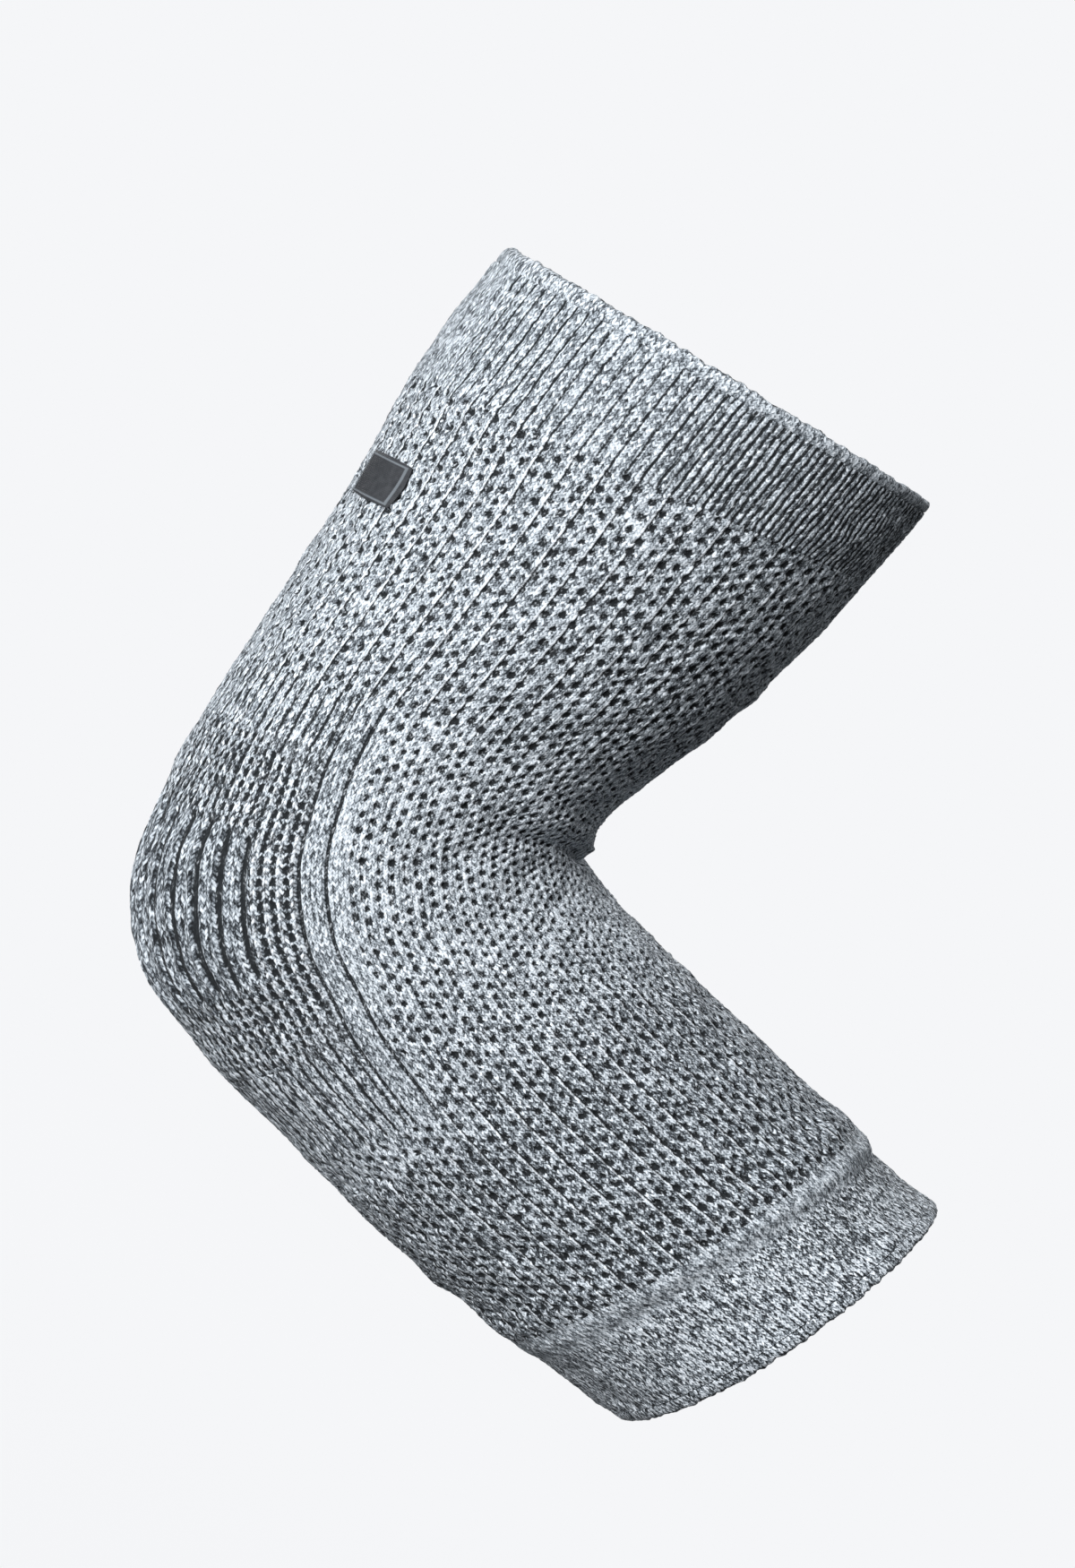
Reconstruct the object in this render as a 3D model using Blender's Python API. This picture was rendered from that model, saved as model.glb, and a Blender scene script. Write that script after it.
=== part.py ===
"""A knitted elbow compression sleeve with a cushioned, ribbed elbow zone.

The sleeve is modelled as worn on an arm bent to about a right angle: the upper arm part
stands along +Z, the forearm part runs along +X, and Y = 0 is its plane of symmetry.
The origin is below the middle of the sleeve, on the plane that its forearm rests on.

Every knitted piece is a patch of the same tapered, bent tube. A place on the tube is given by
    along  - millimetres down its centre line, from the upper opening to the forearm opening
    round  - degrees round it, 0 at the point of the elbow (the back), 180 at its crease
    depth  - millimetres in from its outer face
"""
import math

import bmesh
import bpy
import numpy as np
from mathutils import Vector

MM = 0.001

# Cross-sections of the tube in millimetres, from the upper opening to the forearm opening:
# the point at the back (x, z), the point at the front (x, z) and the width from side to side.
# They are drawn from the centre of the elbow's rounded corner, and so are the bending axes.
SECTIONS = [
    ((-55.6, 132.2), (48.1, 145.6), 92.0),
    ((-54.6, 100.0), (47.7, 125.0), 93.0),
    ((-51.1, 78.0), (46.0, 104.0), 91.0),
    ((-48.3, 52.0), (42.7, 80.0), 88.0),
    ((-45.9, 27.0), (37.8, 61.0), 86.0),
    ((-42.6, 3.0), (36.0, 50.0), 85.0),
    ((-36.5, -18.5), (36.6, 44.6), 84.5),
    ((-23.5, -34.0), (41.0, 40.6), 84.0),
    ((-3.0, -40.7), (48.5, 38.4), 83.0),
    ((28.0, -45.0), (62.0, 36.9), 82.0),
    ((60.0, -48.5), (88.0, 34.6), 81.0),
    ((91.5, -48.4), (121.0, 31.7), 79.0),
    ((118.3, -47.5), (143.4, 30.1), 76.0),
]

# The part's own origin, as (x, z) in the same drawing.
ORIGIN = (43.75, -48.8)

# The two bending axes, parallel to Y, as (x, z).
UPPER_BEND = (-8.0, 16.0)
LOWER_BEND = (12.0, -4.0)

# Where the knit changes along the sleeve, in millimetres down the centre line.
UPPER_HEM_END = 3.6
UPPER_CUFF_END = 27.5
ELBOW_START = 92.0
WAFFLE_START = 103.0
PAD_START = 116.0
PAD_END = 151.0
WAFFLE_END = 162.0
ELBOW_END = 189.0
FOREARM_PANEL_END = 236.0
FOREARM_BAND_END = 241.5
LOWER_HEM_DEPTH = 3.6

# Where the knit changes round the sleeve, in degrees from the back. These lines run lengthwise
# and swing outwards beside the point of the elbow, by a share of their own angle.
PAD_EDGE = 53.0
EDGE_GAP = 0.4
INSERT_EDGE = 56.0
LINING_EDGE = 60.0
INNER_CHANNEL = 65.5
OUTER_CHANNEL = 72.5
SWING = 0.17
SWING_MIDDLE = 136.0
SWING_LENGTH = 32.0

# Thicknesses and clearances, in millimetres.
KNIT = 1.8
CUFF_LAYER = 1.1
ELASTIC = 0.7
GRIP = 0.7
GRIP_WIDTH = 3.2
HEM_THICKNESS = 3.4
PAD_FACE = 2.4
INSERT = 3.4
LINING = 0.9
PATCH = 0.25
GAP = 0.3
CUSHION_GAP = 1.0

UPPER_GRIPS = (8.5, 14.5, 20.5)
LOWER_GRIPS = (5.0, 10.5)

# The blank heat-pressed patch on the sleeve's -Y side.
PATCH_CENTRE = (49.0, -27.0)
PATCH_SIZE = (10.0, 24.0)

ROUND_STEP = 360.0 / 28
LENGTH_STEP = 9.0
CUSHION_STEP = 6.0

HEATHER_GREY = (0.36, 0.39, 0.42)
PALE_GREY = (0.44, 0.47, 0.50)
DARK_GREY = (0.16, 0.17, 0.19)
FOAM_GREY = (0.22, 0.23, 0.25)
SILICONE = (0.55, 0.57, 0.58)
ELASTIC_WHITE = (0.72, 0.72, 0.70)

BACKS = np.array([back for back, front, width in SECTIONS])
FRONTS = np.array([front for back, front, width in SECTIONS])
WIDTHS = np.array([width for back, front, width in SECTIONS])
CENTRES = (BACKS + FRONTS) / 2
STATIONS = np.append(0.0, np.cumsum(np.linalg.norm(np.diff(CENTRES, axis=0), axis=1)))
SLEEVE_LENGTH = STATIONS[-1]


def smooth_between(values, along):
    """The value at a distance along the sleeve, on cubic curves through all the sections."""
    slopes = np.gradient(values, STATIONS, axis=0)
    i = int(np.clip(np.searchsorted(STATIONS, along) - 1, 0, len(STATIONS) - 2))
    span = STATIONS[i + 1] - STATIONS[i]
    t = (along - STATIONS[i]) / span
    start = (1 + 2 * t) * (1 - t) ** 2 * values[i] + t * t * (3 - 2 * t) * values[i + 1]
    bend = t * (1 - t) ** 2 * slopes[i] + t * t * (t - 1) * slopes[i + 1]
    return start + span * bend


def sleeve_point(along, round_deg, depth):
    """World position of a place on the sleeve, in metres."""
    back = smooth_between(BACKS, along)
    front = smooth_between(FRONTS, along)
    half_width = smooth_between(WIDTHS, along) / 2 - depth
    across = front - back
    half_depth = np.linalg.norm(across) / 2
    forward = across / (2 * half_depth) * (half_depth - depth)
    angle = math.radians(round_deg)
    x, z = (back + front) / 2 - forward * math.cos(angle) - ORIGIN
    return Vector((x, half_width * math.sin(angle), z)) * MM


def lengthwise(base):
    """A line along the sleeve that swings outwards beside the point of the elbow."""
    def line(along):
        distance = (along - SWING_MIDDLE) / SWING_LENGTH
        return base * (1 + SWING * math.exp(-distance * distance))
    return line


def mirrored(line):
    """The same line on the other side of the sleeve."""
    return lambda along: -line(along)


def steps(start, end, step):
    """Evenly spaced values from start to end, about one step apart."""
    count = max(1, round(abs(end - start) / step))
    return list(np.linspace(start, end, count + 1))


def plain_material(name, colour, roughness):
    material = bpy.data.materials.new(name)
    material.use_nodes = True
    shader = material.node_tree.nodes["Principled BSDF"]
    shader.inputs["Base Color"].default_value = (*colour, 1.0)
    shader.inputs["Roughness"].default_value = roughness
    shader.inputs["Metallic"].default_value = 0.0
    return material


def new_collection(name):
    collection = bpy.data.collections.new(name)
    bpy.context.scene.collection.children.link(collection)
    return collection


def bend_axis(collection, name, place, parent):
    """An empty on a bending axis; the pieces that turn about it are its children."""
    empty = bpy.data.objects.new(name, None)
    empty.empty_display_size = 10 * MM
    collection.objects.link(empty)
    x, z = np.subtract(place, ORIGIN)
    world = Vector((x, 0, z)) * MM
    empty.parent = parent
    empty.location = world - origin_of(parent)
    return empty


def origin_of(empty):
    """World position of a chain of unturned empties."""
    if empty is None:
        return Vector((0, 0, 0))
    return empty.location + origin_of(empty.parent)


def finish_piece(mesh, collection, name, parent, material):
    """Turn a closed bmesh into a named object that moves with its parent."""
    bmesh.ops.recalc_face_normals(mesh, faces=mesh.faces)
    data = bpy.data.meshes.new(name)
    mesh.to_mesh(data)
    mesh.free()
    data.materials.append(material)
    data.shade_smooth()
    data.set_sharp_from_angle(angle=math.radians(40))
    piece = bpy.data.objects.new(name, data)
    piece.parent = parent
    collection.objects.link(piece)


def build_body(collection, name, parent, material, skins, cells):
    """A closed body from two skins of points and the cells of the skins that are filled.

    skins is (outer, inner), each a dictionary from a grid corner to its world position.
    Each cell is a list of grid corners. Walls close every edge that has a cell on one side only.
    """
    origin = origin_of(parent)
    mesh = bmesh.new()
    outer, inner = [{key: mesh.verts.new(place - origin) for key, place in skin.items()}
                    for skin in skins]
    edges = {(cell[i - 1], cell[i]) for cell in cells for i in range(len(cell))}
    for cell in cells:
        mesh.faces.new([outer[key] for key in cell])
        mesh.faces.new([inner[key] for key in reversed(cell)])
    for a, b in sorted(edges):
        if (b, a) not in edges:
            mesh.faces.new([outer[b], outer[a], inner[a], inner[b]])
    loose = [corner for corner in mesh.verts if not corner.link_faces]
    bmesh.ops.delete(mesh, geom=loose)
    finish_piece(mesh, collection, name, parent, material)


def tube(collection, name, parent, material, start, end, depth, thickness):
    """A full ring of the sleeve between two distances along it."""
    lengths = steps(start, end, LENGTH_STEP)
    angles = steps(0, 360, ROUND_STEP)[:-1]
    skins = grid_skins(lengths, lambda along: angles, depth, thickness)
    count = len(angles)
    cells = [[(i, j), (i + 1, j), (i + 1, (j + 1) % count), (i, (j + 1) % count)]
             for i in range(len(lengths) - 1) for j in range(count)]
    build_body(collection, name, parent, material, skins, cells)


def grid_skins(lengths, angles_at, depth, thickness):
    """Outer and inner skin points over a grid of lengths and angles."""
    return [{(i, j): sleeve_point(along, angle, skin_depth)
             for i, along in enumerate(lengths)
             for j, angle in enumerate(angles_at(along))}
            for skin_depth in (depth, depth + thickness)]


def panel(collection, name, parent, material, lengths, edges, depth, thickness, window=None):
    """Part of the sleeve between two edges, which are functions giving the angle at a length.

    window is an opening left in the panel: its first and last length, and its edge line.
    """
    def angles_at(along):
        low, high = [edge(along) for edge in edges]
        if window is None:
            return list(np.linspace(low, high, columns + 1))
        half = window[2](along)
        return (list(np.linspace(low, -half, side_columns + 1))
                + list(np.linspace(-half, half, columns + 1))[1:-1]
                + list(np.linspace(half, high, side_columns + 1)))

    side_columns = 1 if window else 0
    spread = 2 * PAD_EDGE if window else edges[1](lengths[0]) - edges[0](lengths[0])
    columns = max(1, round(spread / ROUND_STEP))
    skins = grid_skins(lengths, angles_at, depth, thickness)
    cells = []
    for i in range(len(lengths) - 1):
        middle = (lengths[i] + lengths[i + 1]) / 2
        for j in range(columns + 2 * side_columns):
            in_window = window and window[0] < middle < window[1] and 1 <= j <= columns
            if not in_window:
                cells.append([(i, j), (i + 1, j), (i + 1, j + 1), (i, j + 1)])
    build_body(collection, name, parent, material, skins, cells)


def rolled_hem(collection, name, parent, material, rim, body_end):
    """The rolled hem at an opening: flat at the rim, rounded towards the cuff."""
    inward = 1 if body_end > rim else -1
    round_in = min(HEM_THICKNESS / 3, abs(body_end - rim) / 2)
    profile = [(rim, 0.4), (rim + inward * 0.4, 0.0), (body_end - inward * round_in, 0.0),
               (body_end, 0.5), (body_end, HEM_THICKNESS - 0.5),
               (body_end - inward * round_in, HEM_THICKNESS),
               (rim + inward * 0.4, HEM_THICKNESS), (rim, HEM_THICKNESS - 0.4)]
    angles = steps(0, 360, ROUND_STEP)[:-1]
    origin = origin_of(parent)
    mesh = bmesh.new()
    loops = [[mesh.verts.new(sleeve_point(along, angle, depth) - origin)
              for along, depth in profile] for angle in angles]
    for this_loop, next_loop in zip(loops, loops[1:] + loops[:1]):
        for k in range(len(profile)):
            mesh.faces.new([this_loop[k - 1], this_loop[k], next_loop[k], next_loop[k - 1]])
    finish_piece(mesh, collection, name, parent, material)


def cuff(collection, side, parent, materials, start, end, hem, grips):
    """A double-layer cuff: outer knit, elastic, lining and silicone strips inside the lining."""
    knit, elastic, silicone = materials
    inset = 2.0 if end > start else -2.0
    elastic_depth = CUFF_LAYER + GAP
    lining_depth = elastic_depth + ELASTIC + GAP
    grip_depth = lining_depth + LINING + GAP
    tube(collection, f"{side}_cuff", parent, knit, start, end, 0, CUFF_LAYER)
    tube(collection, f"{side}_cuff_elastic", parent, elastic, start + inset, end - inset,
         elastic_depth, ELASTIC)
    tube(collection, f"{side}_cuff_lining", parent, knit, start, end, lining_depth, LINING)
    for number, place in enumerate(grips, start=1):
        middle = hem + place if end > start else hem - place
        tube(collection, f"{side}_grip_strip_{number}", parent, silicone,
             middle - GRIP_WIDTH / 2, middle + GRIP_WIDTH / 2, grip_depth, GRIP)


def upper_sleeve(collection, materials):
    """Everything above the elbow, which stays still."""
    knit, pale, elastic, silicone, patch = materials
    rolled_hem(collection, "upper_cuff_hem", None, pale, 0.0, UPPER_HEM_END)
    cuff(collection, "upper", None, (pale, elastic, silicone),
         UPPER_HEM_END + GAP, UPPER_CUFF_END, 0.0, UPPER_GRIPS)
    tube(collection, "upper_arm_panel", None, knit, UPPER_CUFF_END + GAP, ELBOW_START, 0, KNIT)
    blank_patch(collection, patch)


def blank_patch(collection, material):
    """A thin blank patch pressed onto the outside of the upper arm panel."""
    along, angle = PATCH_CENTRE
    height, spread = PATCH_SIZE
    lengths = steps(along - height / 2, along + height / 2, height / 2)
    edges = (lambda _: angle - spread / 2, lambda _: angle + spread / 2)
    panel(collection, "blank_patch", None, material, lengths, edges, -PATCH - GAP, PATCH)


def border_bands(collection, parent, material):
    """The smooth band between the two long channels, one each side of the elbow."""
    inner = lengthwise(INNER_CHANNEL + EDGE_GAP / 2)
    outer = lengthwise(OUTER_CHANNEL - EDGE_GAP / 2)
    lengths = steps(ELBOW_START + GAP, ELBOW_END, LENGTH_STEP)
    panel(collection, "border_band_left", parent, material, lengths, (inner, outer), 0, KNIT)
    panel(collection, "border_band_right", parent, material, lengths,
          (mirrored(outer), mirrored(inner)), 0, KNIT)


def elbow_zone(collection, parent, materials):
    """The knit round the elbow and the cushion that it holds."""
    knit, pale, pad_face, foam, lining = materials
    border_bands(collection, parent, pale)
    inside = lengthwise(INNER_CHANNEL - EDGE_GAP / 2)
    outside = lengthwise(OUTER_CHANNEL + EDGE_GAP / 2)
    back_edges = (mirrored(inside), inside)
    panel(collection, "back_rib_panel_upper", parent, knit,
          steps(ELBOW_START + GAP, WAFFLE_START - GAP, LENGTH_STEP), back_edges, 0, KNIT)
    panel(collection, "back_rib_panel_lower", parent, knit,
          steps(WAFFLE_END + GAP, ELBOW_END, LENGTH_STEP), back_edges, 0, KNIT)
    waffle_lengths = (steps(WAFFLE_START, PAD_START, LENGTH_STEP)
                      + steps(PAD_START, PAD_END, LENGTH_STEP)[1:]
                      + steps(PAD_END, WAFFLE_END, LENGTH_STEP)[1:])
    panel(collection, "waffle_surround", parent, knit, waffle_lengths, back_edges,
          0, KNIT, window=(PAD_START, PAD_END, lengthwise(PAD_EDGE)))
    front_edges = (outside, lambda along: 360 - outside(along))
    panel(collection, "inner_elbow_panel", parent, knit,
          steps(ELBOW_START + GAP, ELBOW_END, LENGTH_STEP), front_edges, 0, KNIT)
    cushion(collection, parent, pad_face, foam, lining)


def cushion(collection, parent, pad_face, foam, lining):
    """Ribbed face, foam insert and lining of the elbow cushion, one under the other."""
    insert_depth = PAD_FACE + CUSHION_GAP
    lining_depth = insert_depth + INSERT + CUSHION_GAP
    layers = [
        ("rib_pad", pad_face, PAD_START + GAP, PAD_END - GAP, PAD_EDGE - EDGE_GAP, 0, PAD_FACE),
        ("pad_insert", foam, PAD_START - 5, PAD_END + 5, INSERT_EDGE, insert_depth, INSERT),
        ("pad_lining", lining, PAD_START - 9, PAD_END + 9, LINING_EDGE, lining_depth, LINING),
    ]
    for name, material, start, end, edge, depth, thickness in layers:
        line = lengthwise(edge)
        panel(collection, name, parent, material, steps(start, end, CUSHION_STEP),
              (mirrored(line), line), depth, thickness)


def forearm_sleeve(collection, parent, materials):
    """Everything below the elbow."""
    knit, pale, elastic, silicone = materials
    tube(collection, "forearm_panel", parent, knit, ELBOW_END + GAP, FOREARM_PANEL_END, 0, KNIT)
    tube(collection, "forearm_band", parent, pale, FOREARM_PANEL_END + GAP,
         FOREARM_BAND_END - GAP, 0, KNIT)
    hem_start = SLEEVE_LENGTH - LOWER_HEM_DEPTH
    cuff(collection, "lower", parent, (knit, elastic, silicone),
         hem_start - GAP, FOREARM_BAND_END, SLEEVE_LENGTH, LOWER_GRIPS)
    rolled_hem(collection, "lower_cuff_hem", parent, knit, SLEEVE_LENGTH, hem_start)


def main():
    for thing in list(bpy.data.objects):
        bpy.data.objects.remove(thing)
    collection = new_collection("elbow_sleeve")
    upper_axis = bend_axis(collection, "upper_bend_axis", UPPER_BEND, None)
    lower_axis = bend_axis(collection, "lower_bend_axis", LOWER_BEND, upper_axis)

    knit = plain_material("heather_knit", HEATHER_GREY, 0.9)
    pale = plain_material("pale_knit", PALE_GREY, 0.9)
    lining = plain_material("lining_knit", DARK_GREY, 0.9)
    elastic = plain_material("elastic", ELASTIC_WHITE, 0.7)
    silicone = plain_material("silicone", SILICONE, 0.35)
    foam = plain_material("foam", FOAM_GREY, 0.95)
    patch = plain_material("patch", DARK_GREY, 0.5)

    upper_sleeve(collection, (knit, pale, elastic, silicone, patch))
    elbow_zone(collection, upper_axis, (knit, pale, knit, foam, lining))
    forearm_sleeve(collection, lower_axis, (knit, pale, elastic, silicone))


main()
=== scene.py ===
"""The look of a knitted elbow compression sleeve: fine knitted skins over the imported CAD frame.

The whole outside is one grid, cut into pieces along its lines, so that neighbours meet exactly.
A place on the sleeve is given by
    along - millimetres down its centre line, from the upper opening to the forearm opening
    wale  - degrees round it that follow the lengthwise knit lines, 0 at the point of the elbow
    depth - millimetres in from its outer face
and the stitch patterns count in cells: c cells round (3.75 degrees) and r cells along (3.2 mm).
"""

import bpy
import numpy as np
from mathutils import Matrix, Vector


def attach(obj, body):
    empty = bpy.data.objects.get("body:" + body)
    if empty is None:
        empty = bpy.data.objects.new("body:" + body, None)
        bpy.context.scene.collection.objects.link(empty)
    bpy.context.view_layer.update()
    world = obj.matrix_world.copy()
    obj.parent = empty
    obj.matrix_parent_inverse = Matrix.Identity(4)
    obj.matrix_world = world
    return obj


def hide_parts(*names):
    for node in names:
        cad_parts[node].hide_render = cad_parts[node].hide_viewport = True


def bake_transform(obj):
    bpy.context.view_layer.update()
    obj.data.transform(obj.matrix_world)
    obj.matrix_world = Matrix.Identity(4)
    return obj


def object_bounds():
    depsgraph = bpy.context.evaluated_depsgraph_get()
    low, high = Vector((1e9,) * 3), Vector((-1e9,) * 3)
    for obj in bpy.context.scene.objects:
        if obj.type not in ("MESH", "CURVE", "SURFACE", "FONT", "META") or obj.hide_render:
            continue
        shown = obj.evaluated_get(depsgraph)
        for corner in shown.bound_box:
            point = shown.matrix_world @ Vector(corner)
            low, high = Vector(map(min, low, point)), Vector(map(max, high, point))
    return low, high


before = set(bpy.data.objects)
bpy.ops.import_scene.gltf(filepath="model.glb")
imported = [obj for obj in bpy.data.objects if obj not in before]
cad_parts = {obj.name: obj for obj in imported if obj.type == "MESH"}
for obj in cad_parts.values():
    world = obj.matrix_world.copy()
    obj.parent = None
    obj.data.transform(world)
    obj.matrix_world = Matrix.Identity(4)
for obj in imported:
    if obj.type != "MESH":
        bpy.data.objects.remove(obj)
CAD_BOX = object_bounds()

MM = 0.001

# Cross-sections of the sleeve in millimetres: the point at the back (x, z), the point at the
# front (x, z) and the width, drawn from the centre of the elbow's rounded corner.
SECTIONS = [
    ((-55.6, 132.2), (48.1, 145.6), 92.0),
    ((-54.6, 100.0), (47.7, 125.0), 93.0),
    ((-51.1, 78.0), (46.0, 104.0), 91.0),
    ((-48.3, 52.0), (42.7, 80.0), 88.0),
    ((-45.9, 27.0), (37.8, 61.0), 86.0),
    ((-42.6, 3.0), (36.0, 50.0), 85.0),
    ((-36.5, -18.5), (36.6, 44.6), 84.5),
    ((-23.5, -34.0), (41.0, 40.6), 84.0),
    ((-3.0, -40.7), (48.5, 38.4), 83.0),
    ((28.0, -45.0), (62.0, 36.9), 82.0),
    ((60.0, -48.5), (88.0, 34.6), 81.0),
    ((91.5, -48.4), (121.0, 31.7), 79.0),
    ((118.3, -47.5), (143.4, 30.1), 76.0),
]
ORIGIN = (43.75, -48.8)
BACKS = np.array([back for back, front, width in SECTIONS])
FRONTS = np.array([front for back, front, width in SECTIONS])
WIDTHS = np.array([width for back, front, width in SECTIONS])
CENTRES = (BACKS + FRONTS) / 2
STATIONS = np.append(0.0, np.cumsum(np.linalg.norm(np.diff(CENTRES, axis=0), axis=1)))
SLEEVE_LENGTH = STATIONS[-1]

# The grid: blocks of FINE x FINE small faces. Pieces are cut along block lines.
BLOCKS_ROUND = 192
BLOCKS_ALONG = 164
FINE = 4
BLOCK_DEG = 360 / BLOCKS_ROUND
BLOCK_LENGTH = SLEEVE_LENGTH / BLOCKS_ALONG

# One cell of the knit pattern is two blocks each way. Its mean width is in millimetres.
CELL_DEG = 2 * BLOCK_DEG
CELL_LENGTH = 2 * BLOCK_LENGTH
CELL_WIDTH = 3.1

# Block lines along the sleeve.
HEM_TOP = 2
CUFF_TOP = 17
ELBOW_TOP = 57
WAFFLE_TOP = 64
PAD_LINING_TOP = 67
INSERT_TOP = 69
PAD_TOP = 72
MIDDLE = 84
PAD_BOTTOM = 94
INSERT_BOTTOM = 97
PAD_LINING_BOTTOM = 100
WAFFLE_BOTTOM = 101
ELBOW_BOTTOM = 118
BAND_TOP = 147
BAND_BOTTOM = 151
HEM_BOTTOM = 162

# Block lines round the sleeve, counted from the back.
PAD_SIDE = 29
INSERT_SIDE = 30
PAD_LINING_SIDE = 32
INNER_LINE = 35
OUTER_LINE = 39
HALF_TURN = 96
ALL_ROUND = (-HALF_TURN, HALF_TURN)

# Lengthwise knit lines swing outwards beside the point of the elbow: by what share of their
# angle, and over which stretch of the sleeve (mm).
SWING = 0.19
SWING_MIDDLE = 136.0
SWING_LENGTH = 32.0

# How much further the sides of the forearm opening reach (mm).
RIM_BOW = 1.6

# Layers, in millimetres: how thick each is, how far in from the outer face it starts, and the
# width of the grip strips and the overlap of the hems.
KNIT = 1.8
CUFF_LAYER = 1.1
ELASTIC_DEPTH = 1.4
ELASTIC = 0.7
LINING_DEPTH = 2.4
LINING = 0.9
GRIP_DEPTH = 3.3
GRIP = 0.9
GRIP_HALF_WIDTH = 1.15
PAD_FACE = 2.4
INSERT_DEPTH = 3.4
INSERT = 3.4
PAD_LINING_DEPTH = 7.8
HEM = 3.4
HEM_OVERLAP = 0.2

# Depths and heights of the fabric's relief, in millimetres.
NAP = 0.26
NAP_SEED = 5
WAVES = 0.24
WAVES_SEED = 11
HOLE_DEPTH = 0.6
RIB_HEIGHT = 0.08
FURROW_DEPTH = 0.2
DASH_DEPTH = 0.3
WAFFLE_HEIGHT = 0.12
CUFF_LINE_DEPTH = 0.3
CHANNEL_DEPTH = 1.2
CHANNEL_SWELL = 0.4
BAND_HEIGHT = 0.1
LONG_LINE_DEPTH = 0.65

# The blank patch: its middle, and half its length along and round the sleeve (mm, degrees),
# then how far its back, its edge and its middle lie above the knit (mm).
PATCH_ALONG = 49.0
PATCH_WALE = -27.0
PATCH_HALF = (5.0, 12.0)
PATCH_HEIGHTS = (0.05, 0.35, 0.70)

# Where fabric turns from one body's motion to the next: the bodies, start and end in metres.
TURNS = {
    "upper turn": ("upper_sleeve", "elbow_pad", (-0.0542, 0, 0.1153), (-0.0220, 0, 0.0770)),
    "lower turn": ("elbow_pad", "forearm_sleeve", (-0.0186, 0, 0.0736), (0.0197, 0, 0.0415)),
}


# -------- patterns as formulas

def connect(tree, value, slot):
    """Feed a node's input with a Value or a plain number."""
    if isinstance(value, Value):
        tree.links.new(value.socket, slot)
    else:
        slot.default_value = value


class Value:
    """A number in a material's nodes, so that one formula serves for relief and for colour."""

    def __init__(self, tree, socket):
        self.tree = tree
        self.socket = socket

    def feed(self, node, *terms):
        """Fill a node's first inputs, and give its first output."""
        for slot, term in zip(node.inputs, terms):
            connect(self.tree, term, slot)
        return Value(self.tree, node.outputs[0])

    def math(self, operation, *others, swap=False):
        node = self.tree.nodes.new("ShaderNodeMath")
        node.operation = operation
        terms = (self, *others)
        return self.feed(node, *(terms[::-1] if swap else terms))

    def eased(self, low, high):
        node = self.tree.nodes.new("ShaderNodeMapRange")
        node.interpolation_type = "SMOOTHSTEP"
        return self.feed(node, self, low, high)

    def __add__(self, other):
        return self.math("ADD", other)

    def __sub__(self, other):
        return self.math("SUBTRACT", other)

    def __rsub__(self, other):
        return self.math("SUBTRACT", other, swap=True)

    def __mul__(self, other):
        return self.math("MULTIPLY", other)

    def __truediv__(self, other):
        return self.math("DIVIDE", other)

    __radd__ = __add__
    __rmul__ = __mul__


def for_both(operation, array_function):
    """A function that takes numbers in nodes and plain arrays alike."""
    def function(x, *others):
        if isinstance(x, Value):
            return x.math(operation, *others)
        return array_function(x, *others)
    return function


floor = for_both("FLOOR", np.floor)
size = for_both("ABSOLUTE", np.abs)
root = for_both("SQRT", np.sqrt)
sine = for_both("SINE", np.sin)
power = for_both("POWER", np.power)
larger = for_both("MAXIMUM", np.maximum)
smaller = for_both("MINIMUM", np.minimum)


def clamp(x):
    return smaller(larger(x, 0.0), 1.0)


def smooth(x, low, high):
    """0 at low and 1 at high, eased between them; low may be the larger of the two."""
    if isinstance(x, Value):
        return x.eased(low, high)
    t = clamp((x - low) / (high - low))
    return t * t * (3 - 2 * t)


def repeat(x):
    """Distance from the nearest whole number, from -0.5 to 0.5."""
    return x - floor(x + 0.5)


def line(x, half_width):
    """1 on x = 0, falling to 0 at the half width."""
    return smooth(size(x), half_width, half_width * 0.45)


def dot(x, y, radius):
    """1 in a round spot at (0, 0), falling to 0 at the radius."""
    return smooth(root(power(x, 2.0) + power(y, 2.0)), radius, radius * 0.5)


def eyelets(c, r, radius):
    """One column of eyelets in every pair of cells, each a little out of place."""
    stretched = smooth(size(c), 18.0, 32.0) * smooth(r, 46.0, 38.0)
    slack = smooth(size(c), 18.0, 10.0) * smooth(r, 30.0, 24.0)
    radius = radius * (1 + 0.12 * smooth(r, 60.0, 74.0) + 0.17 * stretched - 0.11 * slack)
    column = floor(c / 2 + 0.5)
    row = floor(r + 0.5)
    aside = 0.36 * sine(5.1 * row + 3.3 * column)
    along = 0.42 * sine(4.3 * column + 7.7 * row)
    uneven_radius = radius * (1 + 0.18 * sine(2.9 * row + 6.1 * column))
    x = (c - 2 * column) * CELL_WIDTH + aside
    y = (r - row) * CELL_LENGTH + along
    return dot(x / uneven_radius, y / uneven_radius * 0.9, 1.0)


def mesh_holes(c, r):
    """Large eyelets beside the fine ribs and smaller ones halfway between them."""
    return larger(eyelets(c + 0.2, r, 0.94), eyelets(c - 0.72, r + 0.42, 0.90) * 0.95)


def below_ribs(r):
    """0 down to where the ribs and the long lines end below the elbow, 1 past there."""
    return smooth(r, 56.0, 56.8)


def beside_line(c, r):
    """0 in the plain strip beside the outer long line, 1 in the mesh; it narrows at its ends."""
    start = 20.6 - 0.9 * smooth(r, 45.0, 51.0) - 0.9 * smooth(r, 36.0, 30.0)
    return larger(smooth(size(c) - start, 0.0, 0.8), below_ribs(r))


def raised_rib(c):
    """The fine raised rib at every second cell line of the mesh."""
    return line(2 * repeat(c / 2) * CELL_WIDTH, 0.55)


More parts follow.
